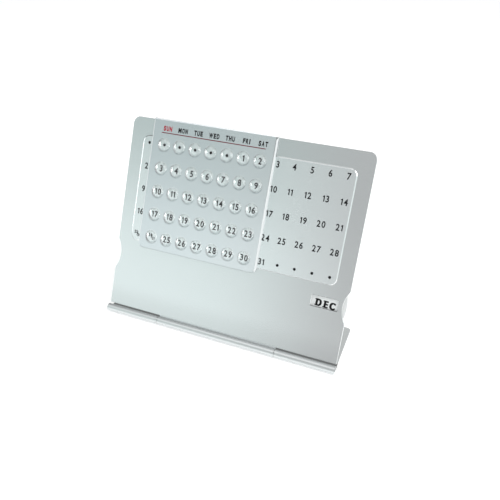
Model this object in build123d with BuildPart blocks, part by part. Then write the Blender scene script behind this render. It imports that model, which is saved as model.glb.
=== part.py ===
from build123d import *
import os
from math import atan2, cos, degrees, radians, sin

os.makedirs("parts", exist_ok=True)

# Whole object, in millimetres and degrees
overall_height = 80.0
panel_width = 106.0
panel_lean = 25.5
sheet_thickness = 0.8
panel_corner_radius = 3.2
edge_break = 0.12
cut_overrun = 2.0

# Hinge between the panel and the base leaf
pin_diameter = 1.6
pin_clearance = 0.05
pin_end_inset = 0.3
pin_end_chamfer = 0.2
knuckle_wrap = 294.0
centre_knuckle_length = 54.7
knuckle_side_gap = 0.15
knuckle_relief = 0.55
leaf_depth = 27.8
leaf_corner_radius = 1.5

# Date table
column_spacing = 7.3
row_spacing = 10.0
column_count = 13
row_count = 5
first_row_drop = 10.4
date_side_margin = 3.1
date_end_margin = 3.2
date_plate_thickness = 0.3
date_bevel_angle = 52.0
date_corner_radius = 3.0

# Weekday slide: one clear moulding hooked over the panel, with a lens for every day
day_count = 7
columns_left_of_slide = 1
slide_thickness = 0.5
slide_run_gap = 0.12
slide_side_margin = 6.4
slide_foot_margin = 5.4
slide_corner_radius = 2.4
slide_bend_radius = 0.35
hook_clearance = 0.1
hook_length = 9.0
hook_corner_radius = 1.5
lens_diameter = 5.4
lens_rise = 1.0
lens_sides = 20
lens_ring_shares = (0.62, 0.25)

# Month wheel behind the panel, with its window and the two thumb notches
month_line = 25.5
window_edge_inset = 3.9
window_length = 11.0
window_height = 4.6
window_corner_radius = 0.3
notch_length = 13.2
notch_depth = 2.0
notch_blend_radius = 1.2
wheel_radius = 21.5
wheel_thickness = 0.8
wheel_edge_inset = 0.5
wheel_run_gap = 0.15
wheel_edge_break = 0.15
stud_diameter = 4.0
stud_bore_clearance = 0.05
stem_diameter = 2.6
stem_length = 1.5
stem_end_chamfer = 0.25
washer_outer_diameter = 10.0
washer_bore_clearance = 0.1
washer_thickness = 0.2
washer_rise = 0.3
washer_gap = 0.04
nut_outer_diameter = 9.0
nut_thickness = 0.25
nut_rise = 0.7
nut_flat_width = 1.4
nut_tooth_count = 6
nut_tooth_gap = 0.5
nut_tooth_length = 1.1

# Places that follow from the sizes above
bore_radius = pin_diameter / 2 + pin_clearance
barrel_radius = bore_radius + sheet_thickness
barrel_reach = barrel_radius + knuckle_relief
lean_cos = cos(radians(panel_lean))
lean_sin = sin(radians(panel_lean))
slide_back = date_plate_thickness + slide_run_gap
slide_front = slide_back + slide_thickness
hook_inner = sheet_thickness + hook_clearance
hook_outer = hook_inner + slide_thickness
bend_outer_radius = slide_bend_radius + slide_thickness

# The highest point is the round front bend of the hook, which sets the panel's length up the slope
bend_out = slide_front - bore_radius - bend_outer_radius
bend_up = (overall_height - barrel_radius - bend_outer_radius - bend_out * lean_sin) / lean_cos
hook_top = bend_up + bend_outer_radius
panel_top = hook_top - slide_thickness - hook_clearance

# The barrel is the front of the object and the rear bend of the hook is its back
rear_bend_in = bore_radius + hook_outer - bend_outer_radius
rear_reach = bend_up * lean_sin + rear_bend_in * lean_cos + bend_outer_radius
hinge_y = (barrel_radius - rear_reach) / 2
hinge_point = (0, hinge_y, barrel_radius)

first_row = panel_top - first_row_drop
last_row = first_row - (row_count - 1) * row_spacing
table_centre = (first_row + last_row) / 2
table_width = (column_count - 1) * column_spacing
date_width = table_width + 2 * date_side_margin
date_height = (row_count - 1) * row_spacing + 2 * date_end_margin
date_foot = table_centre - date_height / 2

first_column = -table_width / 2
slide_x = first_column + (columns_left_of_slide + (day_count - 1) / 2) * column_spacing
slide_width = (day_count - 1) * column_spacing + 2 * slide_side_margin
slide_foot = last_row - slide_foot_margin

notch_radius = (notch_length * notch_length / 4 + notch_depth * notch_depth) / (2 * notch_depth)
notch_x = panel_width / 2 - notch_depth + notch_radius
window_x = panel_width / 2 - window_edge_inset - window_length / 2
wheel_x = panel_width / 2 - wheel_edge_inset - wheel_radius
stud_length = wheel_run_gap + wheel_thickness + 2 * washer_gap + washer_rise
washer_bore_radius = stud_diameter / 2 + washer_bore_clearance
leaf_cut_half = centre_knuckle_length / 2 + knuckle_side_gap

up_slope = (0, lean_sin, lean_cos)
out_normal = (0, -lean_cos, lean_sin)
panel_frame = Plane(origin=hinge_point, x_dir=(1, 0, 0), z_dir=out_normal)
panel_side = Plane(origin=hinge_point, x_dir=(0, lean_cos, -lean_sin), z_dir=(1, 0, 0))
leaf_side = Plane(origin=hinge_point, x_dir=(0, 0, -1), z_dir=(1, 0, 0))
slope_axis = Axis(origin=hinge_point, direction=up_slope)
normal_axis = Axis(origin=hinge_point, direction=out_normal)


def on_panel(across, up, out):
    """A plane parallel to the panel, with its origin out from the panel's front face."""
    origin = panel_frame.from_local_coords((across, up, out - bore_radius))
    return Plane(origin=origin, x_dir=(1, 0, 0), z_dir=out_normal)


def curled_sheet(run_length):
    """Outline of the section of a sheet whose end is rolled round the hinge pin."""
    with BuildLine() as section:
        outer = CenterArc((0, 0), barrel_radius, 0, -knuckle_wrap)
        inner = CenterArc((0, 0), bore_radius, 0, -knuckle_wrap)
        Line(outer @ 1, inner @ 1)
        Polyline(outer @ 0, (barrel_radius, run_length), (bore_radius, run_length), inner @ 0)
    return section.edges()


# Base leaf: lies on the table, and its front edge is rolled into the two outer knuckles
with BuildPart() as base_leaf:
    with BuildSketch(leaf_side.offset(-panel_width / 2)):
        make_face(curled_sheet(leaf_depth))
    extrude(amount=panel_width)
    with BuildSketch(Plane.XY.offset(-cut_overrun)):
        with Locations((0, hinge_y)):
            Rectangle(2 * leaf_cut_half, 2 * barrel_reach)
    extrude(amount=2 * barrel_radius + 2 * cut_overrun, mode=Mode.SUBTRACT)
    rear_corners = base_leaf.edges().filter_by(Axis.Z).group_by(Axis.Y)[-1]
    fillet(rear_corners, leaf_corner_radius)
base_leaf.part.label = "base_leaf"
export_step(base_leaf.part, "parts/base_leaf.step")

# Hinge pin: runs through all three knuckles
pin_length = panel_width - 2 * pin_end_inset
with BuildPart() as hinge_pin:
    with BuildSketch(leaf_side.offset(-pin_length / 2)):
        Circle(pin_diameter / 2)
    extrude(amount=pin_length)
    pin_ends = hinge_pin.edges().filter_by(GeomType.CIRCLE)
    chamfer(pin_ends, pin_end_chamfer)
hinge_pin.part.label = "hinge_pin"
export_step(hinge_pin.part, "parts/hinge_pin.step")

# Front panel: a sheet with the month window and the thumb notches, rolled into the centre knuckle
panel_height = panel_top - barrel_reach
with BuildPart() as front_panel:
    with BuildSketch(on_panel(0, 0, -sheet_thickness)) as panel_outline:
        with Locations((0, barrel_reach + panel_height / 2)):
            Rectangle(panel_width, panel_height)
        fillet(panel_outline.vertices().group_by(Axis.Y)[-1], panel_corner_radius)
        with Locations((-notch_x, month_line), (notch_x, month_line)):
            Circle(notch_radius, mode=Mode.SUBTRACT)
        notch_low = month_line - notch_length / 2 - notch_depth
        notch_high = month_line + notch_length / 2 + notch_depth
        notch_ends = panel_outline.vertices().filter_by_position(Axis.Y, notch_low, notch_high)
        fillet(notch_ends, notch_blend_radius)
        with Locations((window_x, month_line)):
            RectangleRounded(window_length, window_height, window_corner_radius, mode=Mode.SUBTRACT)
    extrude(amount=sheet_thickness)
    front_edges = front_panel.faces().sort_by(normal_axis)[-1].edges()
    chamfer(front_edges.sort_by(slope_axis)[1:], edge_break)
    with BuildSketch(panel_side.offset(-centre_knuckle_length / 2)):
        make_face(curled_sheet(barrel_reach + edge_break))
    extrude(amount=centre_knuckle_length)
front_panel.part.label = "front_panel"
export_step(front_panel.part, "parts/front_panel.step")

# Date plate: a thin printed plate with a bevelled rim, bonded to the front of the panel
with BuildPart() as date_plate:
    with BuildSketch(on_panel(0, table_centre, 0)):
        RectangleRounded(date_width, date_height, date_corner_radius)
    extrude(amount=date_plate_thickness, taper=date_bevel_angle)
date_plate.part.label = "date_plate"
export_step(date_plate.part, "parts/date_plate.step")

# One round lens: tapered steps that follow the arc of its dome
lens_radius = lens_diameter / 2
lens_sphere = (lens_radius * lens_radius + lens_rise * lens_rise) / (2 * lens_rise)
lens_centre_drop = lens_sphere - lens_rise
lens_half_angle = atan2(lens_radius, lens_centre_drop)
with BuildPart() as day_lens:
    with BuildSketch() as lens_foot:
        RegularPolygon(lens_radius, lens_sides, major_radius=False)
    step_face = lens_foot.face()
    step_radius = lens_radius
    step_height = 0
    for ring_share in lens_ring_shares:
        ring_angle = lens_half_angle * ring_share
        ring_radius = lens_sphere * sin(ring_angle)
        ring_height = lens_sphere * cos(ring_angle) - lens_centre_drop
        step_rise = ring_height - step_height
        step_taper = degrees(atan2(step_radius - ring_radius, step_rise))
        extrude(step_face, amount=step_rise, taper=step_taper)
        step_face = day_lens.faces().sort_by(Axis.Z)[-1]
        step_radius = ring_radius
        step_height = ring_height

# Lens slide: a thin clear sheet folded over the panel's top edge, with a lens over every date
front_mid = bore_radius - slide_back - slide_thickness / 2
rear_mid = bore_radius + hook_inner + slide_thickness / 2
hook_mid_top = hook_top - slide_thickness / 2
fold_points = [
    (front_mid, slide_foot),
    (front_mid, hook_mid_top),
    (rear_mid, hook_mid_top),
    (rear_mid, panel_top - hook_length),
]
with BuildPart(on_panel(slide_x, table_centre, slide_front)) as lens_slide:
    with BuildSketch(panel_side.offset(slide_x - slide_width / 2)):
        with BuildLine():
            FilletPolyline(*fold_points, radius=slide_bend_radius + slide_thickness / 2)
        trace(line_width=slide_thickness)
    extrude(amount=slide_width)
    foot_corners = lens_slide.edges().filter_by(normal_axis).group_by(slope_axis)[0]
    fillet(foot_corners, slide_corner_radius)
    hook_ends = lens_slide.edges().filter_by(normal_axis).group_by(normal_axis)[0]
    fillet(hook_ends.group_by(slope_axis)[0], hook_corner_radius)
    with GridLocations(column_spacing, row_spacing, day_count, row_count):
        add(day_lens.part)
lens_slide.part.label = "lens_slide"
export_step(lens_slide.part, "parts/lens_slide.step")

# Month wheel: turns behind the panel and shows its rim in the right thumb notch
with BuildPart() as month_wheel:
    with BuildSketch(on_panel(wheel_x, month_line, -sheet_thickness - wheel_run_gap)):
        Circle(wheel_radius)
        Circle(stud_diameter / 2 + stud_bore_clearance, mode=Mode.SUBTRACT)
    extrude(amount=-wheel_thickness)
    rim_edges = month_wheel.edges().filter_by(GeomType.CIRCLE).sort_by(SortBy.RADIUS)[-2:]
    chamfer(rim_edges, wheel_edge_break)
month_wheel.part.label = "month_wheel"
export_step(month_wheel.part, "parts/month_wheel.step")

# Wheel stud: welded to the back of the panel, a journal for the wheel and a stem for the push nut
with BuildPart() as wheel_stud:
    with BuildSketch(on_panel(wheel_x, month_line, -sheet_thickness)):
        Circle(stud_diameter / 2)
    extrude(amount=-stud_length)
    with BuildSketch(on_panel(wheel_x, month_line, -sheet_thickness - stud_length)):
        Circle(stem_diameter / 2)
    extrude(amount=-stem_length)
    stem_end = wheel_stud.edges().filter_by(GeomType.CIRCLE).sort_by(normal_axis)[0]
    chamfer(stem_end, stem_end_chamfer)
wheel_stud.part.label = "wheel_stud"
export_step(wheel_stud.part, "parts/wheel_stud.step")

# Sections through the wheel's axis: across is along the panel, up is away from the panel's back
washer_start = on_panel(wheel_x, month_line, -sheet_thickness - stud_length + washer_gap).origin
washer_section = Plane(origin=washer_start, x_dir=(1, 0, 0), z_dir=up_slope)
nut_start = on_panel(wheel_x, month_line, -sheet_thickness - stud_length).origin
nut_section = Plane(origin=nut_start, x_dir=(1, 0, 0), z_dir=up_slope)

# Spring washer: dished, so that it presses the wheel lightly and the month stays where it is set
washer_radius = washer_outer_diameter / 2
washer_flat = washer_rise - washer_thickness
with BuildPart() as spring_washer:
    with BuildSketch(washer_section):
        Polygon(
            (washer_bore_radius, -washer_thickness),
            (washer_bore_radius, 0),
            (washer_radius, -washer_flat),
            (washer_radius, -washer_rise),
            align=None,
        )
    revolve(axis=Axis(origin=washer_start, direction=out_normal))
spring_washer.part.label = "spring_washer"
export_step(spring_washer.part, "parts/spring_washer.step")

# Push nut: a dished star washer pressed on the stem
nut_radius = nut_outer_diameter / 2
nut_bore_radius = stem_diameter / 2
nut_flat_radius = nut_radius - nut_flat_width
nut_slot_reach = nut_bore_radius + nut_tooth_length
with BuildPart() as push_nut:
    with BuildSketch(nut_section):
        Polygon(
            (nut_radius, 0),
            (nut_radius, nut_thickness),
            (nut_flat_radius, nut_thickness),
            (nut_bore_radius, nut_rise + nut_thickness),
            (nut_bore_radius, nut_rise),
            (nut_flat_radius, 0),
            align=None,
        )
    revolve(axis=Axis(origin=nut_start, direction=out_normal))
    with BuildSketch(on_panel(wheel_x, month_line, -sheet_thickness - stud_length)):
        with PolarLocations(nut_slot_reach / 2, nut_tooth_count):
            Rectangle(nut_slot_reach, nut_tooth_gap)
    extrude(amount=-nut_rise - cut_overrun, mode=Mode.SUBTRACT)
push_nut.part.label = "push_nut"
export_step(push_nut.part, "parts/push_nut.step")
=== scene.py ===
import math

import bmesh
import bpy
from mathutils import Matrix, Vector


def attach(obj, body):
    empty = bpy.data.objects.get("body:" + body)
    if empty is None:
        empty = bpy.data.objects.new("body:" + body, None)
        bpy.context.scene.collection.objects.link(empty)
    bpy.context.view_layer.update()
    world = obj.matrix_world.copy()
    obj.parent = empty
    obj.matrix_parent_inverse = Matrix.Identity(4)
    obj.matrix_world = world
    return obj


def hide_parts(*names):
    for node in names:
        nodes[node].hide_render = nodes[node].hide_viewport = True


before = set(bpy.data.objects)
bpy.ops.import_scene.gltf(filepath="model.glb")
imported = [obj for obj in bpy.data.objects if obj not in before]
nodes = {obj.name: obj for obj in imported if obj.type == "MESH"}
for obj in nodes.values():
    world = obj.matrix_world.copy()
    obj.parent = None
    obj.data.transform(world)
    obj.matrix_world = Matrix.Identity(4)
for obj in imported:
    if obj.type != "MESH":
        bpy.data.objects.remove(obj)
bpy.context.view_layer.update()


# Base leaf: the sheet that lies on the table, its front edge rolled into the two outer knuckles.
# Satin anodised aluminium. The blanked edges are bare metal and brighter than the face, and the
# side that was the back of the sheet keeps the darker tone of the mill.

sheet_thickness = 0.0008
edge_share, rear_share = 0.97, 0.98
hinge_y, hinge_z = -0.0187947, 0.00165
barrel_reach = 0.0022
silver_colour, mill_colour = (0.806, 0.833, 0.838, 1), (0.52, 0.535, 0.54, 1)
corner_shade_colour, roll_shade_colour = (0.27, 0.28, 0.28, 1), (0.46, 0.475, 0.48, 1)
foot_shade_colour, split_colour = (0.705, 0.727, 0.732, 1), (0.16, 0.17, 0.175, 1)
bare_edge_colour, painted_edge_shade_colour = (0.93, 0.95, 0.95, 1), (0.16, 0.165, 0.17, 1)
rolled_roughness = 0.34
leaf_corner_back, leaf_roll_back, leaf_roll_rise = 0.0033, 0.00017, 0.00112


def new_finish(name, **plain_sockets):
    """A material with one Principled shader, its plain sockets set by name (spaces as underscores)."""
    finish = bpy.data.materials.new(name)
    finish.use_nodes = True
    shader = finish.node_tree.nodes["Principled BSDF"]
    for socket, value in plain_sockets.items():
        shader.inputs[socket.replace("_", " ")].default_value = value
    return finish, finish.node_tree, shader


def add_node(tree, kind, inputs=None, **settings):
    """A node with its settings and the plain values of its inputs."""
    node = tree.nodes.new("ShaderNode" + kind)
    for setting, value in settings.items():
        setattr(node, setting, value)
    for socket, value in (inputs or {}).items():
        node.inputs[socket].default_value = value
    return node


def colour_mix(tree, **plain):
    """A node that mixes the colours A and B; those that are plain are given."""
    return add_node(tree, "Mix", plain, data_type="RGBA")


def wire(tree, *runs):
    """Links sockets; each run is a node, its output, the next node and its input."""
    for source, output, target, entry in runs:
        tree.links.new(source.outputs[output], target.inputs[entry])


def new_group(name, inputs, *outputs):
    """An empty shader group with its named sockets, inputs given as (name, kind, default)."""
    group = bpy.data.node_groups.new(name, "ShaderNodeTree")
    for socket, kind, default in inputs:
        made = group.interface.new_socket(socket, in_out="INPUT", socket_type="NodeSocket" + kind)
        if default is not None:
            made.default_value = default
    for socket, kind in outputs:
        group.interface.new_socket(socket, in_out="OUTPUT", socket_type="NodeSocket" + kind)
    return group, group.nodes.new("NodeGroupInput"), group.nodes.new("NodeGroupOutput")


def use_group(tree, group, **values):
    """The group placed in a material, with its own values."""
    node = tree.nodes.new("ShaderNodeGroup")
    node.node_tree = group
    for socket, value in values.items():
        node.inputs[socket.replace("_", " ")].default_value = value
    return node


# Rolled and anodised sheet has a fine grain along its width and faint cloudy patches
grain_group, grain_in, grain_out = new_group(
    "Satin grain",
    [("Vector", "Vector", None), ("Base Roughness", "Float", 0.35), ("Spread", "Float", 0.1),
     ("Tone Spread", "Float", 0.05), ("Grain Scale", "Float", 9000.0), ("Along", "Vector", (0.08, 1, 1))],
    ("Tone", "Color"), ("Roughness", "Float"), ("Height", "Float"))
grain_map = add_node(grain_group, "Mapping")
grain_noise = add_node(grain_group, "TexNoise", {"Detail": 2.0, "Roughness": 0.6})
cloud_noise = add_node(grain_group, "TexNoise", {"Scale": 55.0, "Detail": 3.0})
grain_mix = add_node(grain_group, "Math", {1: 0.6}, operation="MULTIPLY")
cloud_add = add_node(grain_group, "Math", {1: 0.4}, operation="MULTIPLY_ADD")
centre = add_node(grain_group, "Math", {1: 0.5}, operation="SUBTRACT")
rough_add = add_node(grain_group, "Math", operation="MULTIPLY_ADD")
tone_add = add_node(grain_group, "Math", {2: 1.0}, operation="MULTIPLY_ADD")
wire(grain_group,
     (grain_in, "Vector", grain_map, "Vector"), (grain_in, "Along", grain_map, "Scale"),
     (grain_map, "Vector", grain_noise, "Vector"), (grain_in, "Grain Scale", grain_noise, "Scale"),
     (grain_in, "Vector", cloud_noise, "Vector"), (grain_noise, "Fac", grain_mix, 0),
     (cloud_noise, "Fac", cloud_add, 0), (grain_mix, 0, cloud_add, 2), (cloud_add, 0, centre, 0),
     (centre, 0, rough_add, 0), (grain_in, "Spread", rough_add, 1), (grain_in, "Base Roughness", rough_add, 2),
     (centre, 0, tone_add, 0), (grain_in, "Tone Spread", tone_add, 1),
     (rough_add, 0, grain_out, "Roughness"), (tone_add, 0, grain_out, "Tone"),
     (grain_noise, "Fac", grain_out, "Height"))

# Blanked edges: the places between the two faces of a flat sheet whose middle is at Z zero
edge_group, edge_in, edge_out = new_group(
    "Blanked edge",
    [("Vector", "Vector", None), ("Half Thickness", "Float", 0.0004), ("Start", "Float", 0.0)],
    ("Mask", "Float"))
edge_parts = add_node(edge_group, "SeparateXYZ")
edge_depth = add_node(edge_group, "Math", operation="ABSOLUTE")
edge_inside = add_node(edge_group, "Math", operation="LESS_THAN")
edge_past = add_node(edge_group, "Math", operation="GREATER_THAN")
edge_both = add_node(edge_group, "Math", operation="MULTIPLY")
wire(edge_group,
     (edge_in, "Vector", edge_parts, "Vector"), (edge_parts, "Z", edge_depth, 0), (edge_depth, 0, edge_inside, 0),
     (edge_in, "Half Thickness", edge_inside, 1), (edge_parts, "Y", edge_past, 0),
     (edge_in, "Start", edge_past, 1), (edge_inside, 0, edge_both, 0), (edge_past, 0, edge_both, 1),
     (edge_both, 0, edge_out, "Mask"))

# A mask along a line that runs across the sheet, fading with distance from it: it places painted shade in the
# corners of the hinge, where shade falls, and the rougher finish along the barrel
crease_group, crease_in, crease_out = new_group(
    "Hinge crease",
    [("Vector", "Vector", None), ("Line", "Vector", (0, 0, 0)),
     ("Core", "Float", 0.0003), ("Reach", "Float", 0.0008)],
    ("Mask", "Float"))
crease_from = add_node(crease_group, "VectorMath", operation="SUBTRACT")
crease_flat = add_node(crease_group, "VectorMath", {1: (0, 1, 1)}, operation="MULTIPLY")
crease_length = add_node(crease_group, "VectorMath", operation="LENGTH")
crease_fade = add_node(crease_group, "MapRange", interpolation_type="SMOOTHSTEP")
wire(crease_group,
     (crease_in, "Vector", crease_from, 0), (crease_in, "Line", crease_from, 1),
     (crease_from, "Vector", crease_flat, 0), (crease_flat, "Vector", crease_length, 0),
     (crease_length, "Value", crease_fade, "Value"), (crease_in, "Reach", crease_fade, "From Min"),
     (crease_in, "Core", crease_fade, "From Max"), (crease_fade, "Result", crease_out, "Mask"))

# The cut ends of the knuckles, where they meet at the two splits of the barrel
split_group, split_in, split_out = new_group(
    "Knuckle split",
    [("Vector", "Vector", None), ("Axis", "Vector", (0, 0, 0)), ("Split", "Float", 0.0274),
     ("Half Width", "Float", 0.0002), ("Barrel Radius", "Float", 0.0021)],
    ("Mask", "Float"))
barrel_from = add_node(split_group, "VectorMath", operation="SUBTRACT")
barrel_flat = add_node(split_group, "VectorMath", {1: (0, 1, 1)}, operation="MULTIPLY")
barrel_length = add_node(split_group, "VectorMath", operation="LENGTH")
barrel_near = add_node(split_group, "Math", operation="LESS_THAN")
split_parts = add_node(split_group, "SeparateXYZ")
split_side = add_node(split_group, "Math", operation="ABSOLUTE")
split_near = add_node(split_group, "Math", operation="COMPARE")
split_both = add_node(split_group, "Math", operation="MULTIPLY")
wire(split_group,
     (split_in, "Vector", barrel_from, 0), (split_in, "Axis", barrel_from, 1),
     (barrel_from, "Vector", barrel_flat, 0), (barrel_flat, "Vector", barrel_length, 0),
     (barrel_length, "Value", barrel_near, 0), (split_in, "Barrel Radius", barrel_near, 1),
     (split_in, "Vector", split_parts, "Vector"), (split_parts, "X", split_side, 0),
     (split_side, 0, split_near, 0), (split_in, "Split", split_near, 1), (split_in, "Half Width", split_near, 2),
     (barrel_near, 0, split_both, 0), (split_near, 0, split_both, 1), (split_both, 0, split_out, "Mask"))


def own_axes(tree, place):
    """Object coordinates in the own axes of a sheet that stands at this place."""
    coordinates = add_node(tree, "TexCoord")
    axes = add_node(tree, "Mapping", {"Location": place.to_translation(), "Rotation": place.to_euler()},
                    vector_type="TEXTURE")
    wire(tree, (coordinates, "Object", axes, "Vector"))
    return axes


def add_grain(tree, shader, place, colour, strength, distance=0.00001, polish=None, **values):
    """Grain in a finish: it tones the colour, sets the roughness and gives a fine bump.

    place is the node and the output with the coordinates, colour a plain colour or the node that mixes it,
    and polish a Mix node that the roughness passes through.
    """
    grain = use_group(tree, grain_group, **values)
    toned = add_node(tree, "Mix", {"Factor": 1.0}, data_type="RGBA", blend_type="MULTIPLY")
    bump = add_node(tree, "Bump", {"Strength": strength, "Distance": distance})
    if isinstance(colour, tuple):
        toned.inputs["A"].default_value = colour
    else:
        wire(tree, (colour, "Result", toned, "A"))
    if polish:
        wire(tree, (grain, "Roughness", polish, "A"), (polish, "Result", shader, "Roughness"))
    else:
        wire(tree, (grain, "Roughness", shader, "Roughness"))
    wire(tree, (*place, grain, "Vector"), (grain, "Tone", toned, "B"), (toned, "Result", shader, "Base Color"),
         (grain, "Height", bump, "Height"), (bump, "Normal", shader, "Normal"))


def sheet_finish(name, place, start, axis, creases, shaded_edge_place=None):
    """Anodised sheet with bare edges; place takes the sheet's own axes to the object's.

    Each crease darkens the colour along its line with painted shade; the last argument, if given,
    is the middle and the half size of a place where the cut edge is darkened with painted shade.
    """
    finish, tree, shader = new_finish(name, Metallic=0.9, Specular_IOR_Level=0.5)
    axes = own_axes(tree, place)
    parts = add_node(tree, "SeparateXYZ")
    edge = use_group(tree, edge_group, Half_Thickness=sheet_thickness / 2 * edge_share, Start=start)
    split = use_group(tree, split_group, Axis=axis, Half_Width=0.00034)
    barrel = use_group(tree, crease_group, Line=axis, Core=0.0018, Reach=0.0024)
    rolled = add_node(tree, "Mix", {"B": rolled_roughness}, data_type="FLOAT")
    behind = add_node(tree, "Math", {1: -sheet_thickness / 2 * rear_share}, operation="LESS_THAN")
    colour = colour_mix(tree, A=silver_colour, B=mill_colour)
    wire(tree, *((axes, "Vector", user, "Vector") for user in (parts, edge, split, barrel)),
         (parts, "Z", behind, 0), (behind, 0, colour, "Factor"), (barrel, "Mask", rolled, "Factor"))
    tints = [(edge, "Mask", bare_edge_colour), (split, "Mask", split_colour)]
    for line, core, reach, tint in creases:
        crease = use_group(tree, crease_group, Line=line, Core=core, Reach=reach)
        wire(tree, (axes, "Vector", crease, "Vector"))
        tints.append((crease, "Mask", tint))
    # Painted shade: the cut edge is darkened inside the given place
    if shaded_edge_place:
        (middle_x, middle_y), (half_x, half_y) = shaded_edge_place
        near_x = add_node(tree, "Math", {1: middle_x, 2: half_x}, operation="COMPARE")
        near_y = add_node(tree, "Math", {1: middle_y, 2: half_y}, operation="COMPARE")
        near_both = add_node(tree, "Math", operation="MULTIPLY")
        near_edge = add_node(tree, "Math", operation="MULTIPLY")
        wire(tree, (parts, "X", near_x, 0), (parts, "Y", near_y, 0), (near_x, 0, near_both, 0),
             (near_y, 0, near_both, 1), (near_both, 0, near_edge, 0), (edge, "Mask", near_edge, 1))
        tints.append((near_edge, 0, painted_edge_shade_colour))
    for mask, output, tint in tints:
        tinted = colour_mix(tree, B=tint)
        wire(tree, (mask, output, tinted, "Factor"), (colour, "Result", tinted, "A"))
        colour = tinted
    add_grain(tree, shader, (axes, "Vector"), colour, 0.03, polish=rolled,
              Base_Roughness=0.24, Spread=0.10, Tone_Spread=0.04)
    return finish


def dress(node, finish):
    """A CAD node takes this finish in all its material slots."""
    node.data.materials.clear()
    node.data.materials.append(finish)


leaf_place = Matrix.Translation((0, 0, sheet_thickness / 2))
leaf_axis = (0, hinge_y, hinge_z - sheet_thickness / 2)
leaf_corner = (0, hinge_y + leaf_corner_back, sheet_thickness / 2)
leaf_roll_top = (0, hinge_y + leaf_roll_back, hinge_z + leaf_roll_rise)
# Painted shade: the leaf darkens round the barrel, in the corner behind it and along the top of the roll, where
# shade falls
leaf_creases = [(leaf_axis, 0.002, 0.004, foot_shade_colour), (leaf_corner, 0.0011, 0.0022, corner_shade_colour),
                (leaf_roll_top, 0.0003, 0.0014, roll_shade_colour)]
dress(nodes["base_leaf"],
      sheet_finish("Leaf silver", leaf_place, hinge_y + barrel_reach, leaf_axis, leaf_creases))


# Hinge pin: a bright plated steel wire through the three knuckles, cut to length and chamfered.
# Only its two ends show, a little inside the ends of the barrel.

steel_colour = (0.62, 0.63, 0.64, 1)


def steel_finish(name, base_roughness):
    """Bright plated steel with fine drawing or stamping marks."""
    finish, tree, shader = new_finish(name, Base_Color=steel_colour, Metallic=1.0)
    coordinates = add_node(tree, "TexCoord")
    add_grain(tree, shader, (coordinates, "Object"), steel_colour, 0.2, Base_Roughness=base_roughness,
              Spread=0.2, Tone_Spread=0.1, Grain_Scale=6000.0, Along=(1, 1, 1))
    return finish


dress(nodes["hinge_pin"], steel_finish("Pin steel", 0.25))


# Front panel: one sheet with the month window and the thumb notches, its foot rolled into the
# centre knuckle. The same anodised sheet as the leaf, leaning back on it. Pieces on it are made
# flat, X across, Y up the slope and Z out from its front face, and then placed.

panel_lean = math.radians(25.5)
bore_radius = 0.00085
panel_roll_up, panel_roll_out = 0.00135, 0.00138
# Painted shade on the cut edge along the foot of the month window
window_foot_middle, window_foot_half = (0.0436, 0.0232), (0.0056, 0.0003)

out_normal = Vector((0, -math.cos(panel_lean), math.sin(panel_lean)))
panel_front = Vector((0, hinge_y, hinge_z)) - bore_radius * out_normal
panel_place = Matrix.Translation(panel_front) @ Matrix.Rotation(math.pi / 2 - panel_lean, 4, "X")
panel_middle = panel_place @ Matrix.Translation((0, 0, -sheet_thickness / 2))
panel_axis = (0, 0, sheet_thickness / 2 + bore_radius)
panel_roll_top = (0, panel_roll_up, sheet_thickness / 2 + panel_roll_out)
# Painted shade: the panel darkens towards its foot and along the top of its roll
panel_creases = [(panel_axis, 0.003, 0.014, foot_shade_colour), (panel_roll_top, 0.0003, 0.0012, roll_shade_colour)]
dress(nodes["front_panel"],
      sheet_finish("Panel silver", panel_middle, barrel_reach, panel_axis, panel_creases,
                   (window_foot_middle, window_foot_half)))


# Date plate: a thin silver plate bonded to the panel, with a bright cut bevel all round. Painted light and shade
# make its face lighter from left to right and its bevel darker on the left and at the top.
# The dates are screen printed in black; the first and last places of the table hold a dot.

plate_front = 0.0003
plate_half_width, plate_half_height, plate_middle = 0.0469, 0.0232, 0.0560865
# Painted light and shade: the face lightens from left to right; the bevel is dark on the left and along the top and
# light on the right and at the foot
plate_shaded_side_colour, plate_lit_side_colour = (0.855, 0.882, 0.888, 1), (0.94, 0.978, 0.985, 1)
plate_shade_end = 0.012
left_bevel_shade_colour, top_bevel_shade_colour = (0.25, 0.26, 0.26, 1), (0.44, 0.455, 0.455, 1)
far_bevel_lit_colour, bevel_roughness, bevel_fade = (0.80, 0.815, 0.815, 1), 0.14, 0.08
bevel_height, bevel_half_height = plate_front * 0.45, plate_front * 0.4
ink_colour, worn_ink_colour, ink_thickness = (0.006, 0.006, 0.007, 1), (0.018, 0.018, 0.02, 1), 0.000012
first_column, column_spacing, column_count = -0.0438, 0.0073, 13
first_row, row_spacing, row_count = 0.0760865, 0.010, 5
week_days, first_number, last_number = 7, -5, 31
date_height, dot_radius, dot_segments = 0.00245, 0.00061, 20
shared_dates, small_date_height, slash_height = (23, 24), 0.0012, 0.0017
fraction_step, fraction_stretch, fraction_weight = Vector((0.00085, -0.00065, 0)), 0.70, 0.06
shifted_column, column_shift = 8, 0.0003

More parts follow.
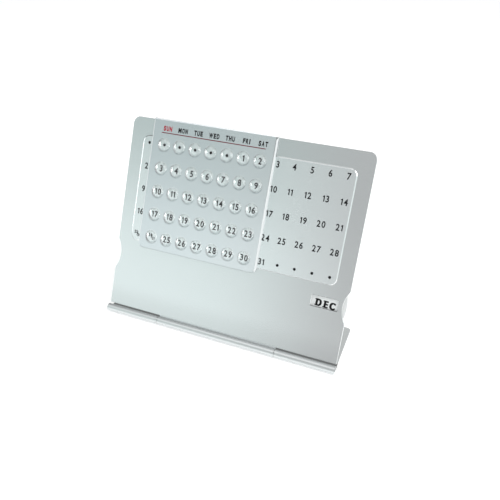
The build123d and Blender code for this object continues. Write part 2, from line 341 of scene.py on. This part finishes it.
plate_finish, plate_tree, plate_shader = new_finish("Date plate silver", Metallic=0.9)
plate_axes = own_axes(plate_tree, panel_place)
plate_parts = add_node(plate_tree, "SeparateXYZ")
plate_bevel = add_node(plate_tree, "Math", {1: bevel_height, 2: bevel_half_height}, operation="COMPARE")
plate_across = add_node(plate_tree, "MapRange", {"From Min": -plate_half_width, "From Max": plate_shade_end})
plate_shade = colour_mix(plate_tree, A=plate_shaded_side_colour, B=plate_lit_side_colour)
bevel_place = add_node(plate_tree, "Mapping",
                       {"Location": (0, plate_middle, 0), "Scale": (plate_half_width, plate_half_height, 1)},
                       vector_type="TEXTURE")
bevel_corner = add_node(plate_tree, "VectorMath", {1: (1, -1, 0)}, operation="DOT_PRODUCT")
bevel_side = add_node(plate_tree, "MapRange", {"From Min": -bevel_fade, "From Max": bevel_fade})
bevel_shade = colour_mix(plate_tree, A=left_bevel_shade_colour, B=top_bevel_shade_colour)
bevel_mix = colour_mix(plate_tree, B=far_bevel_lit_colour)
plate_mix = colour_mix(plate_tree)
plate_polish = add_node(plate_tree, "Mix", {"B": bevel_roughness}, data_type="FLOAT")
wire(plate_tree,
     (plate_axes, "Vector", plate_parts, "Vector"), (plate_parts, "Z", plate_bevel, 0),
     (plate_parts, "X", plate_across, "Value"), (plate_across, "Result", plate_shade, "Factor"),
     (plate_axes, "Vector", bevel_place, "Vector"), (bevel_place, "Vector", bevel_corner, 0),
     (bevel_corner, "Value", bevel_side, "Value"), (bevel_side, "Result", bevel_mix, "Factor"),
     (plate_across, "Result", bevel_shade, "Factor"), (bevel_shade, "Result", bevel_mix, "A"),
     (plate_bevel, 0, plate_mix, "Factor"), (plate_shade, "Result", plate_mix, "A"),
     (bevel_mix, "Result", plate_mix, "B"), (plate_bevel, 0, plate_polish, "Factor"))
add_grain(plate_tree, plate_shader, (plate_axes, "Vector"), plate_mix, 0.03, polish=plate_polish,
          Base_Roughness=0.26, Spread=0.10, Tone_Spread=0.04)
dress(nodes["date_plate"], plate_finish)

cap_height = 0.682
wide_letters = {"M": 1.3, "W": 1.55}
glyphs = {}


def glyph(character, weight):
    """A flat letter or figure of cap height 0.682, as a mesh; the one gets the flag that the font lacks."""
    if (character, weight) not in glyphs:
        outline = bpy.data.curves.new("glyph", "FONT")
        outline.body = character
        outline.offset = weight
        outline.resolution_u = 5
        carrier = bpy.data.objects.new("glyph", outline)
        bpy.context.scene.collection.objects.link(carrier)
        bpy.context.view_layer.update()
        mesh = bpy.data.meshes.new_from_object(carrier.evaluated_get(bpy.context.evaluated_depsgraph_get()))
        bpy.data.objects.remove(carrier)
        if character == "1":
            flagged = bmesh.new()
            left, right = 0.202 - weight, 0.300 + weight
            flag = [(left, 0), (right, 0), (right, cap_height), (left + 0.02, cap_height),
                    (0.06, 0.575), (0.06, 0.47 - weight), (left, 0.565 - weight)]
            flagged.faces.new([flagged.verts.new((x, y, 0)) for x, y in flag])
            flagged.to_mesh(mesh)
            flagged.free()
        glyphs[character, weight] = mesh
    return glyphs[character, weight]


def set_line(sheet, text, height, place, stretch=0.86, weight=0.026, gap=0.15, cell=1.0):
    """Sets a line of flat letters into the bmesh, centred on place; none is wider than the cell."""
    line = bmesh.new()
    reach = 0.0
    for character in text:
        letter = glyph(character, weight)
        low = min(v.co.x for v in letter.vertices)
        high = max(v.co.x for v in letter.vertices)
        squeeze = min(1.0, wide_letters.get(character, 1.0) * cell / (high - low))
        before = len(line.verts)
        line.from_mesh(letter)
        line.verts.ensure_lookup_table()
        fit = (Matrix.Translation((reach, 0, 0)) @ Matrix.Diagonal((squeeze, 1, 1, 1))
               @ Matrix.Translation((-low, 0, 0)))
        bmesh.ops.transform(line, verts=line.verts[before:], matrix=fit)
        reach += (high - low) * squeeze + gap
    size = height / cap_height
    middle = Matrix.Translation((-(reach - gap) / 2, -cap_height / 2, 0))
    bmesh.ops.transform(line, verts=line.verts[:],
                        matrix=place @ Matrix.Diagonal((size * stretch, size, 1, 1)) @ middle)
    joined = bpy.data.meshes.new("line")
    line.to_mesh(joined)
    line.free()
    sheet.from_mesh(joined)
    bpy.data.meshes.remove(joined)


def stand_up(name, sheet, *finishes):
    """Stands a flat piece on the panel and makes an object of it."""
    bmesh.ops.transform(sheet, verts=sheet.verts[:], matrix=panel_place)
    mesh = bpy.data.meshes.new(name)
    sheet.to_mesh(mesh)
    sheet.free()
    for finish in finishes:
        mesh.materials.append(finish)
    piece = bpy.data.objects.new(name, mesh)
    bpy.context.scene.collection.objects.link(piece)
    return piece


def print_piece(name, sheet, finish, body):
    """Closes flat print into a thin layer, stands it on the panel and lets it ride on a body."""
    bmesh.ops.recalc_face_normals(sheet, faces=sheet.faces[:])
    for face in sheet.faces:
        if face.normal.z < 0:
            face.normal_flip()
    layer = bmesh.ops.extrude_face_region(sheet, geom=sheet.faces[:], use_keep_orig=True)
    lifted = [v for v in layer["geom"] if isinstance(v, bmesh.types.BMVert)]
    bmesh.ops.translate(sheet, verts=lifted, vec=(0, 0, ink_thickness))
    bmesh.ops.recalc_face_normals(sheet, faces=sheet.faces[:])
    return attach(stand_up(name, sheet, finish), body)


def ink_finish(name, colour, worn_colour):
    """Screen ink: a matt film, a little thinner in specks."""
    finish, tree, shader = new_finish(name, Specular_IOR_Level=0.15)
    coordinates = add_node(tree, "TexCoord")
    specks = add_node(tree, "TexNoise", {"Scale": 2600.0, "Detail": 3.0})
    film = add_node(tree, "ValToRGB")
    for stop, position, tint in zip(film.color_ramp.elements, (0.35, 0.75), (colour, worn_colour)):
        stop.position, stop.color = position, tint
    sheen = add_node(tree, "MapRange", {"To Min": 0.42, "To Max": 0.6})
    wire(tree, (coordinates, "Object", specks, "Vector"), (specks, "Fac", film, "Fac"),
         (film, "Color", shader, "Base Color"), (specks, "Fac", sheen, "Value"),
         (sheen, "Result", shader, "Roughness"))
    return finish


black_ink = ink_finish("Black ink", ink_colour, worn_ink_colour)

dates = bmesh.new()
for row in range(row_count):
    for column in range(column_count):
        number = first_number + week_days * row + column
        spot = Matrix.Translation((first_column + column * column_spacing, first_row - row * row_spacing,
                                   plate_front))
        if number in shared_dates and row == row_count - 1:
            set_line(dates, str(number), small_date_height, spot @ Matrix.Translation(-fraction_step),
                     fraction_stretch, fraction_weight)
            set_line(dates, "/", slash_height, spot)
            set_line(dates, str(number + week_days), small_date_height, spot @ Matrix.Translation(fraction_step),
                     fraction_stretch, fraction_weight)
        elif 1 <= number <= last_number:
            shift = column_shift if column == shifted_column else 0
            set_line(dates, str(number), date_height, spot @ Matrix.Translation((shift, 0, 0)))
        else:
            bmesh.ops.create_circle(dates, cap_ends=True, segments=dot_segments, radius=dot_radius, matrix=spot)
print_piece("date_print", dates, black_ink, "panel")


# Month wheel: a white moulded disc on a stud behind the panel, turned by its rim in the right thumb notch.
# The twelve month names are printed round it, one in the window at a time.

wheel_white = (0.79, 0.80, 0.80, 1)
wheel_x, month_line, wheel_front = 0.031, 0.0255, -0.00095
month_radius, month_height, month_drop, month_step = 0.01285, 0.0027, 3.0, 30
month_names = ("JAN", "FEB", "MAR", "APR", "MAY", "JUN", "JUL", "AUG", "SEP", "OCT", "NOV", "DEC")
month_weight, month_stretch = 0.036, 0.78
thin_stem, stem_growth, serif_thickness, serif_reach = 0.049, 0.13, 0.09, 0.12
stem_feet = {"A": (0, 1), "B": (0,), "D": (0,), "E": (0,), "F": (0,), "L": (0,), "M": (0, 1), "N": (0,),
             "P": (0,), "R": (0, 1), "T": (0.5,), "Y": (0.5,)}
stem_heads = {"B": (0,), "D": (0,), "E": (0,), "F": (0,), "J": (1,), "L": (0,), "M": (0, 1), "N": (0, 1),
              "P": (0,), "R": (0,), "U": (0, 1), "V": (0, 1), "Y": (0, 1)}

wheel_finish, wheel_tree, wheel_shader = new_finish("Wheel white", Specular_IOR_Level=0.45)
wheel_coordinates = add_node(wheel_tree, "TexCoord")
add_grain(wheel_tree, wheel_shader, (wheel_coordinates, "Object"), wheel_white, 0.1, 0.00002,
          Base_Roughness=0.42, Spread=0.12, Tone_Spread=0.05, Grain_Scale=3500.0, Along=(1, 1, 1))
dress(nodes["month_wheel"], wheel_finish)


def serif_letter(letter):
    """Makes the plain letter a bold book letter: broad stems, thin bars and flat serifs at the stem ends."""
    mesh = glyph(letter, month_weight)
    broad = bmesh.new()
    broad.from_mesh(mesh)
    bmesh.ops.remove_doubles(broad, verts=broad.verts[:], dist=1e-5)
    push = dict.fromkeys(broad.verts, 0.0)
    for edge in broad.edges:
        if edge.is_boundary:
            side = edge.link_loops[0]
            along = (side.link_loop_next.vert.co - side.vert.co).normalized()
            for vert in edge.verts:
                push[vert] += along.y * math.copysign(1, side.face.normal.z)
    for vert, share in push.items():
        vert.co.x += stem_growth / 2 * max(-1, min(1, share))
    stem = thin_stem + month_weight + stem_growth / 2
    low = min(v.co.x for v in broad.verts) + stem
    high = max(v.co.x for v in broad.verts) - stem
    for shares, height in ((stem_feet.get(letter, ()), 0),
                           (stem_heads.get(letter, ()), cap_height - serif_thickness)):
        for share in shares:
            middle = low + (high - low) * share
            slab = Matrix.Translation((middle, height + serif_thickness / 2, 0)) @ Matrix.Diagonal(
                (stem + serif_reach, serif_thickness / 2, 1, 1))
            bmesh.ops.create_grid(broad, x_segments=1, y_segments=1, size=1, matrix=slab)
    broad.to_mesh(mesh)
    broad.free()


for letter in sorted(set("".join(month_names))):
    serif_letter(letter)

months = bmesh.new()
hub = Matrix.Translation((wheel_x, month_line, wheel_front))
for turn, name in enumerate(month_names, start=1):
    spoke = (Matrix.Rotation(math.radians(-month_step * turn - month_drop), 4, "Z")
             @ Matrix.Translation((month_radius, 0, 0)))
    set_line(months, name, month_height, hub @ spoke, stretch=month_stretch, weight=month_weight)
print_piece("month_print", months, black_ink, "wheel")


# Stud, spring washer and push nut: they carry the month wheel on the back of the panel.
# The stud is turned steel welded to the sheet; the washer and the nut are stamped from spring steel.

dress(nodes["wheel_stud"], steel_finish("Stud steel", 0.22))
dress(nodes["spring_washer"], steel_finish("Washer steel", 0.28))
dress(nodes["push_nut"], steel_finish("Nut steel", 0.32))


# Weekday slide: a clear plastic sheet formed with a bubble over every date and folded over the panel's top.
# A silver film is printed on its front round the bubbles, and leaves the right margin and the edges clear.

slide_left, slide_right = -0.0423, 0.01355
slide_foot, fold_start = 0.0306865, 0.0862365
slide_front, slide_wall, fold_radius = 0.00092, 0.0005, 0.00085
hook_back, hook_foot = -0.0014, 0.0774865
slide_corner, hook_corner, slide_border = 0.0024, 0.0015, 0.00105
lens_radius, lens_rise, lens_segments, lens_steps, first_lens = 0.0027, 0.001, 40, 8, -0.0365
clear_colour, clear_foot_shade_colour = (1.0, 1.0, 1.0, 1), (0.84, 0.86, 0.865, 1)
clear_edge_colour, shadow_loss = (0.83, 0.855, 0.86, 1), 0.93
shade_side, lit_side = (0.25, -0.97, 0), (0.3, 0.95, 0)
crisp_angle = 32

lens_sphere = (lens_radius ** 2 + lens_rise ** 2) / (2 * lens_rise)
lens_half_angle = math.atan2(lens_radius, lens_sphere - lens_rise)
lens_centres = [Vector((first_lens + day * column_spacing, first_row - row * row_spacing, 0))
                for row in range(row_count) for day in range(week_days)]


def blank_with_holes(left, right, foot, head, depth, corner, hole_radius, border):
    """A flat face with rounded foot corners, a border and a round hole at every lens; also gives the hole rims."""
    blank = bmesh.new()
    corners = [blank.verts.new((x, y, depth)) for x, y in ((left, foot), (right, foot), (right, head), (left, head))]
    blank.faces.new(corners)
    bmesh.ops.bevel(blank, geom=corners[:2], offset=corner, offset_type="OFFSET", segments=8, profile=0.5,
                    affect="VERTICES", material=-1)
    inner = blank.faces[:]
    for face in bmesh.ops.inset_region(blank, faces=inner, thickness=border, use_boundary=True)["faces"]:
        face.material_index = int(not left + border < face.calc_center_median().x < right - border)
    outline = inner[0].edges[:]
    bmesh.ops.delete(blank, geom=inner, context="FACES_ONLY")
    rims = []
    for place in lens_centres:
        ring = bmesh.ops.create_circle(blank, cap_ends=False, segments=lens_segments, radius=hole_radius,
                                       matrix=Matrix.Translation(place + Vector((0, 0, depth))))
        rims.append(sorted({edge for vert in ring["verts"] for edge in vert.link_edges}, key=lambda e: e.index))
    bmesh.ops.triangle_fill(blank, use_beauty=True, edges=outline + sum(rims, []), normal=(0, 0, 1))
    return blank, rims


def edges_at(sheet, height, depth):
    """The straight edge of the sheet at this height and depth."""
    return [edge for edge in sheet.edges
            if all(abs(v.co.y - height) < 1e-6 and abs(v.co.z - depth) < 1e-6 for v in edge.verts)]


def bend_back(sheet, edges, centre_height, centre_depth, turn=90, steps=8):
    """Bends the sheet back from these edges by so many degrees, and gives the edges at the end of the bend."""
    bent = bmesh.ops.spin(sheet, geom=edges + [v for edge in edges for v in edge.verts],
                          cent=(0, centre_height, centre_depth), axis=(1, 0, 0),
                          angle=-math.radians(turn), steps=steps)
    return [item for item in bent["geom_last"] if isinstance(item, bmesh.types.BMEdge)]


def run_on(sheet, edges, step):
    """Carries the sheet straight on from these edges."""
    grown = bmesh.ops.extrude_edge_only(sheet, edges=edges)["geom"]
    ends = [item for item in grown if isinstance(item, bmesh.types.BMVert)]
    bmesh.ops.translate(sheet, verts=ends, vec=step)
    return [item for item in grown if isinstance(item, bmesh.types.BMEdge) and set(item.verts) <= set(ends)]


def formed_piece(name, sheet, wall, finish, edge_finish):
    """Gives the outer skin its wall, stands it on the panel and lets it ride on the slide."""
    bmesh.ops.remove_doubles(sheet, verts=sheet.verts[:], dist=1e-7)
    bmesh.ops.recalc_face_normals(sheet, faces=sheet.faces[:])
    foremost = max(sheet.faces, key=lambda face: face.calc_center_median().z)
    if foremost.normal.z < 0:
        bmesh.ops.reverse_faces(sheet, faces=sheet.faces[:])
    piece = stand_up(name, sheet, finish, edge_finish)
    thick = piece.modifiers.new("wall", "SOLIDIFY")
    thick.thickness = wall
    thick.material_offset_rim = 1
    thick.offset = -1
    thick.use_even_offset = True
    bpy.context.view_layer.update()
    piece.data = bpy.data.meshes.new_from_object(piece.evaluated_get(bpy.context.evaluated_depsgraph_get()))
    piece.modifiers.clear()
    piece.data.shade_smooth()
    piece.data.set_sharp_from_angle(angle=math.radians(crisp_angle))
    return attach(piece, "slide")


# A soft arc on one side of the ring round every bubble: the mask for painted shade at the foot of the bubbles and a
# painted highlight at their heads
foot_group, foot_in, foot_out = new_group(
    "Bubble foot",
    [("Vector", "Vector", None), ("Towards", "Vector", (0.0, -1.0, 0.0)),
     ("Radius", "Float", 0.0028), ("Reach", "Float", 0.0004)],
    ("Mask", "Float"))
half_cell = Vector((column_spacing / 2, row_spacing / 2, 0))
last_cell = ((week_days - 1) * column_spacing, (row_count - 1) * row_spacing, 0)
foot_start = add_node(foot_group, "VectorMath", {1: lens_centres[-week_days] - half_cell}, operation="SUBTRACT")
foot_cell = add_node(foot_group, "VectorMath", {1: (column_spacing, row_spacing, 1)}, operation="SNAP")
foot_low = add_node(foot_group, "VectorMath", {1: (0, 0, 0)}, operation="MAXIMUM")
foot_high = add_node(foot_group, "VectorMath", {1: last_cell}, operation="MINIMUM")
foot_middle = add_node(foot_group, "VectorMath", {1: half_cell}, operation="ADD")
foot_from = add_node(foot_group, "VectorMath", operation="SUBTRACT")
foot_flat = add_node(foot_group, "VectorMath", {1: (1, 1, 0)}, operation="MULTIPLY")
foot_length = add_node(foot_group, "VectorMath", operation="LENGTH")
foot_unit = add_node(foot_group, "VectorMath", operation="NORMALIZE")
foot_facing = add_node(foot_group, "VectorMath", operation="DOT_PRODUCT")
foot_side = add_node(foot_group, "MapRange", {"From Min": 0.05, "From Max": 0.9}, interpolation_type="SMOOTHSTEP")
foot_off = add_node(foot_group, "Math", operation="SUBTRACT")
foot_away = add_node(foot_group, "Math", operation="ABSOLUTE")
foot_ring = add_node(foot_group, "MapRange", {"From Max": 0.0}, interpolation_type="SMOOTHSTEP")
foot_both = add_node(foot_group, "Math", operation="MULTIPLY")
wire(foot_group,
     (foot_in, "Vector", foot_start, 0), (foot_start, "Vector", foot_cell, 0), (foot_cell, "Vector", foot_low, 0),
     (foot_low, "Vector", foot_high, 0), (foot_high, "Vector", foot_middle, 0),
     (foot_start, "Vector", foot_from, 0), (foot_middle, "Vector", foot_from, 1),
     (foot_from, "Vector", foot_flat, 0), (foot_flat, "Vector", foot_length, 0),
     (foot_flat, "Vector", foot_unit, 0), (foot_unit, "Vector", foot_facing, 0),
     (foot_in, "Towards", foot_facing, 1), (foot_facing, "Value", foot_side, "Value"),
     (foot_length, "Value", foot_off, 0), (foot_in, "Radius", foot_off, 1), (foot_off, 0, foot_away, 0),
     (foot_away, 0, foot_ring, "Value"), (foot_in, "Reach", foot_ring, "From Min"),
     (foot_side, "Result", foot_both, 0), (foot_ring, "Result", foot_both, 1), (foot_both, 0, foot_out, "Mask"))

# The clear sheet, which lets most light through to the plate under it
clear_finish, clear_tree, clear_shader = new_finish(
    "Clear plastic", IOR=1.45, Transmission_Weight=1.0, Specular_IOR_Level=0.5)
clear_axes = own_axes(clear_tree, panel_place)
# Painted shade: the clear sheet is tinted darker in an arc at the foot of every bubble
clear_foot = use_group(clear_tree, foot_group, Towards=shade_side, Radius=lens_radius * 0.87, Reach=0.0008)
clear_tone = colour_mix(clear_tree, A=clear_colour, B=clear_foot_shade_colour)
clear_coordinates = add_node(clear_tree, "TexCoord")
clear_marks = add_node(clear_tree, "TexNoise", {"Scale": 350.0, "Detail": 3.0})
clear_rough = add_node(clear_tree, "MapRange", {"To Min": 0.0, "To Max": 0.03})
clear_bump = add_node(clear_tree, "Bump", {"Strength": 0.04, "Distance": 0.00005})
clear_path = add_node(clear_tree, "LightPath")
clear_shadow = add_node(clear_tree, "Math", {1: -shadow_loss, 2: 1.0}, operation="MULTIPLY_ADD")
wire(clear_tree,
     (clear_axes, "Vector", clear_foot, "Vector"), (clear_foot, "Mask", clear_tone, "Factor"),
     (clear_tone, "Result", clear_shader, "Base Color"), (clear_coordinates, "Object", clear_marks, "Vector"),
     (clear_marks, "Fac", clear_rough, "Value"), (clear_rough, "Result", clear_shader, "Roughness"),
     (clear_marks, "Fac", clear_bump, "Height"), (clear_bump, "Normal", clear_shader, "Normal"),
     (clear_path, "Is Shadow Ray", clear_shadow, 0), (clear_shadow, 0, clear_shader, "Alpha"))

edge_finish, edge_tree, edge_shader = new_finish("Clear plastic edge", Base_Color=clear_edge_colour, IOR=1.49)
edge_coordinates = add_node(edge_tree, "TexCoord")
edge_marks = add_node(edge_tree, "TexNoise", {"Scale": 3000.0, "Detail": 2.0})
edge_rough = add_node(edge_tree, "MapRange", {"To Min": 0.25, "To Max": 0.5})
wire(edge_tree, (edge_coordinates, "Object", edge_marks, "Vector"), (edge_marks, "Fac", edge_rough, "Value"),
     (edge_rough, "Result", edge_shader, "Roughness"))

slide, lens_rims = blank_with_holes(slide_left, slide_right, slide_foot, fold_start, slide_front, slide_corner,
                                    lens_radius, slide_border)
for place, rim in zip(lens_centres, lens_rims):
    for step in range(1, lens_steps):
        angle = lens_half_angle * (1 - step / lens_steps)
        rim = run_on(slide, rim, (0, 0, 0))
        for vert in {v for edge in rim for v in edge.verts}:
            around = Vector((vert.co.x - place.x, vert.co.y - place.y, 0)).normalized()
            height = slide_front + lens_rise - lens_sphere * (1 - math.cos(angle))
            vert.co = place + around * lens_sphere * math.sin(angle) + Vector((0, 0, height))
    bmesh.ops.edgeloop_fill(slide, edges=rim)
fold = edges_at(slide, fold_start, slide_front)
fold = bend_back(slide, fold, fold_start, slide_front - fold_radius)
fold = run_on(slide, fold, (0, 0, hook_back - slide_front + 2 * fold_radius))
fold = bend_back(slide, fold, fold_start, hook_back + fold_radius)
fold = run_on(slide, fold, (0, hook_foot - fold_start, 0))
hook_ends = sorted({v for edge in fold for v in edge.verts}, key=lambda v: v.co.x)
bmesh.ops.bevel(slide, geom=[hook_ends[0], hook_ends[-1]], offset=hook_corner, offset_type="OFFSET", segments=6,
                profile=0.5, affect="VERTICES", material=-1)
slide_sheet = formed_piece("slide_sheet", slide, slide_wall, clear_finish, edge_finish)
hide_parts("lens_slide")

# The silver film on the front of the sheet, which ends half way round the fold
# Painted light and shade: the film lightens from left to right, with painted shade in an arc under every bubble and
# a painted highlight in an arc above it
film_shaded_side_colour, film_lit_side_colour = (0.748, 0.78, 0.806, 1), (0.84, 0.862, 0.882, 1)
film_shade_colour, film_lit_colour = (0.58, 0.61, 0.63, 1), (0.92, 0.945, 0.955, 1)
film_hole, film_overlap, film_corner, film_turn = 0.0028, 0.00014, slide_corner * 0.9, 45
film_left_margin, film_border, film_foot_margin = 0.0002, 0.0002, 0.0001
film_front, film_thickness = slide_front + 0.00002, 0.000015
film_finish, film_tree, film_shader = new_finish("Silver film", Metallic=0.85, Coat_Weight=0.25, Coat_Roughness=0.15)
film_axes = own_axes(film_tree, panel_place)
film_parts = add_node(film_tree, "SeparateXYZ")
film_across = add_node(film_tree, "MapRange", {"From Min": slide_left, "From Max": slide_right})
film_mix = colour_mix(film_tree, A=film_shaded_side_colour, B=film_lit_side_colour)
film_foot = use_group(film_tree, foot_group, Towards=shade_side, Radius=film_hole, Reach=0.0005)
film_head = use_group(film_tree, foot_group, Towards=lit_side, Radius=film_hole, Reach=0.0005)
film_shade = colour_mix(film_tree, B=film_shade_colour)
film_lit = colour_mix(film_tree, B=film_lit_colour)
wire(film_tree, *((film_axes, "Vector", user, "Vector") for user in (film_parts, film_foot, film_head)),
     (film_parts, "X", film_across, "Value"), (film_across, "Result", film_mix, "Factor"),
     (film_mix, "Result", film_shade, "A"), (film_foot, "Mask", film_shade, "Factor"),
     (film_shade, "Result", film_lit, "A"), (film_head, "Mask", film_lit, "Factor"))
add_grain(film_tree, film_shader, (film_axes, "Vector"), film_lit, 0.03, Base_Roughness=0.23, Spread=0.10,
          Tone_Spread=0.05, Grain_Scale=6000.0, Along=(1, 1, 1))
film = blank_with_holes(
    slide_left + film_left_margin, slide_right - slide_border + film_overlap, slide_foot + film_foot_margin,
    fold_start, film_front, film_corner, film_hole, film_border)[0]
bend_back(film, edges_at(film, fold_start, film_front), fold_start, slide_front - fold_radius, turn=film_turn)
formed_piece("slide_film", film, film_thickness, film_finish, film_finish)

# Weekday names and the red line under them, printed on the film
weekday_names = ("SUN", "MON", "TUE", "WED", "THU", "FRI", "SAT")
weekday_height, weekday_rise = 0.0018, 0.00695
weekday_style = {"stretch": 0.84, "weight": 0.056, "gap": 0.12, "cell": 0.53}
first_name, name_spacing = -0.03555, 0.0072
underline_left, underline_right, underline_rise, underline_width = -0.0382, 0.0090, 0.0051, 0.00034
red_ink = ink_finish("Red ink", (0.36, 0.012, 0.028, 1), (0.46, 0.035, 0.05, 1))
dark_red_ink = ink_finish("Dark red ink", (0.12, 0.004, 0.012, 1), (0.17, 0.012, 0.02, 1))
red_print = bmesh.new()
black_names = bmesh.new()
for day, name in enumerate(weekday_names):
    spot = Matrix.Translation((first_name + day * name_spacing, first_row + weekday_rise, film_front))
    set_line(red_print if name == "SUN" else black_names, name, weekday_height, spot, **weekday_style)
print_piece("sunday_print", red_print, red_ink, "slide")
underline = bmesh.new()
line_low = first_row + underline_rise - underline_width / 2
line_ends = ((underline_left, line_low), (underline_right, line_low),
             (underline_right, line_low + underline_width), (underline_left, line_low + underline_width))
underline.faces.new([underline.verts.new((x, y, film_front)) for x, y in line_ends])
print_piece("underline_print", underline, dark_red_ink, "slide")
print_piece("weekday_print", black_names, black_ink, "slide")


# Studio: a white floor that glows for the eye only, a soft surround that differs by side and height,
# three softboxes and the photograph's view.

floor_colour, floor_half, floor_drop = (0.86, 0.86, 0.86, 1), 4, 0.00002
floor_mesh = bpy.data.meshes.new("floor")
floor_sheet = bmesh.new()
bmesh.ops.create_grid(floor_sheet, x_segments=1, y_segments=1, size=floor_half,
                      matrix=Matrix.Translation((0, 0, -floor_drop)))
floor_sheet.to_mesh(floor_mesh)
floor_sheet.free()
floor_finish, floor_tree, floor_shader = new_finish("Floor white", Base_Color=floor_colour, Roughness=0.9)
floor_coordinates = add_node(floor_tree, "TexCoord")
floor_parts = add_node(floor_tree, "SeparateXYZ")
floor_depth = add_node(floor_tree, "MapRange",
                       {"From Min": -0.12, "From Max": 0.25, "To Min": 0.26, "To Max": 0.40})
floor_glow = add_node(floor_tree, "Emission")
floor_sum = add_node(floor_tree, "AddShader")
floor_choice = add_node(floor_tree, "MixShader")
floor_path = add_node(floor_tree, "LightPath")
floor_seen = add_node(floor_tree, "Math", operation="MAXIMUM")
floor_mirrored = add_node(floor_tree, "Math", operation="MAXIMUM")
wire(floor_tree,
     (floor_coordinates, "Object", floor_parts, "Vector"), (floor_parts, "Y", floor_depth, "Value"),
     (floor_depth, "Result", floor_glow, "Strength"), (floor_shader, 0, floor_sum, 0), (floor_glow, 0, floor_sum, 1),
     (floor_path, "Is Camera Ray", floor_seen, 0), (floor_path, "Is Glossy Ray", floor_seen, 1),
     (floor_seen, 0, floor_mirrored, 0), (floor_path, "Is Transmission Ray", floor_mirrored, 1),
     (floor_mirrored, 0, floor_choice, "Fac"), (floor_shader, 0, floor_choice, 1), (floor_sum, 0, floor_choice, 2),
     (floor_choice, 0, floor_tree.nodes["Material Output"], "Surface"))
floor_mesh.materials.append(floor_finish)
floor = bpy.data.objects.new("floor", floor_mesh)
bpy.context.scene.collection.objects.link(floor)

low_left_light, high_left_light = (0.93, 1.03, 1.02, 1), (0.40, 0.48, 0.47, 1)
top_left_light, right_light, back_light = (0.88, 0.93, 0.92, 1), (0.44, 0.425, 0.43, 1), (0.58, 0.585, 0.58, 1)
left_stops = ((0.20, low_left_light), (0.40, high_left_light), (0.52, high_left_light), (0.70, top_left_light))
world = bpy.data.worlds.new("Studio surround")
bpy.context.scene.world = world
world.use_nodes = True
surround = world.node_tree
direction = add_node(surround, "TexCoord")
direction_parts = add_node(surround, "SeparateXYZ")
left_share = add_node(surround, "MapRange", {"From Min": -0.12, "From Max": -0.33}, interpolation_type="SMOOTHSTEP")
back_share = add_node(surround, "MapRange", {"From Min": -0.3, "From Max": 0.3}, interpolation_type="SMOOTHSTEP")
side_share = add_node(surround, "MapRange", {"From Min": 0.4, "From Max": 0.75}, interpolation_type="SMOOTHSTEP")
left_colour = add_node(surround, "ValToRGB")
left_colour.color_ramp.interpolation = "EASE"
left_colour.color_ramp.elements.new(0.3)
left_colour.color_ramp.elements.new(0.4)
for stop, (height, light) in zip(left_colour.color_ramp.elements, left_stops):
    stop.position, stop.color = height, light
front_colour = colour_mix(surround, A=right_light)
side_colour = colour_mix(surround, B=low_left_light)
whole_colour = colour_mix(surround, B=back_light)
wire(surround,
     (direction, "Generated", direction_parts, "Vector"), (direction_parts, "Z", left_colour, "Fac"),
     (direction_parts, "X", left_share, "Value"), (direction_parts, "X", side_share, "Value"),
     (direction_parts, "Y", back_share, "Value"), (left_share, "Result", front_colour, "Factor"),
     (left_colour, "Color", front_colour, "B"), (side_share, "Result", side_colour, "Factor"),
     (front_colour, "Result", side_colour, "A"), (back_share, "Result", whole_colour, "Factor"),
     (side_colour, "Result", whole_colour, "A"), (whole_colour, "Result", surround.nodes["Background"], "Color"))


def softbox(name, place, width, height, power):
    """A soft rectangular lamp that faces the calendar."""
    lamp = bpy.data.lights.new(name, "AREA")
    lamp.shape = "RECTANGLE"
    lamp.size, lamp.size_y, lamp.energy = width, height, power
    box = bpy.data.objects.new(name, lamp)
    box.location = place
    box.rotation_euler = (Vector((0, 0, 0.04)) - Vector(place)).to_track_quat("-Z", "Y").to_euler()
    bpy.context.scene.collection.objects.link(box)


softbox("left_softbox", (-0.66, -0.11, 0.150), 0.40, 0.28, 1.9)
softbox("top_softbox", (-0.05, -0.05, 0.90), 0.80, 0.70, 1.4)
softbox("right_softbox", (0.47, -0.20, 0.52), 0.55, 0.55, 2.0)

view_place, view_yaw, view_pitch, view_roll = (0.080560, -0.177919, 0.162888), 21.951, 33.377, 0.185
view_focal_pixels, picture_pixels = 553.91, 500
camera = bpy.data.cameras.new("photo_view")
camera.sensor_width = 36.0
camera.lens = camera.sensor_width * view_focal_pixels / picture_pixels
camera.clip_start, camera.clip_end = 0.01, 20
view = bpy.data.objects.new("photo_view", camera)
view.location = view_place
view_turn = (Matrix.Rotation(math.radians(view_yaw), 3, "Z") @ Matrix.Rotation(math.radians(90 - view_pitch), 3, "X")
             @ Matrix.Rotation(math.radians(view_roll), 3, "Z"))
view.rotation_euler = view_turn.to_euler()
bpy.context.scene.collection.objects.link(view)
bpy.context.scene.camera = view
bpy.context.scene.view_settings.view_transform = "Standard"
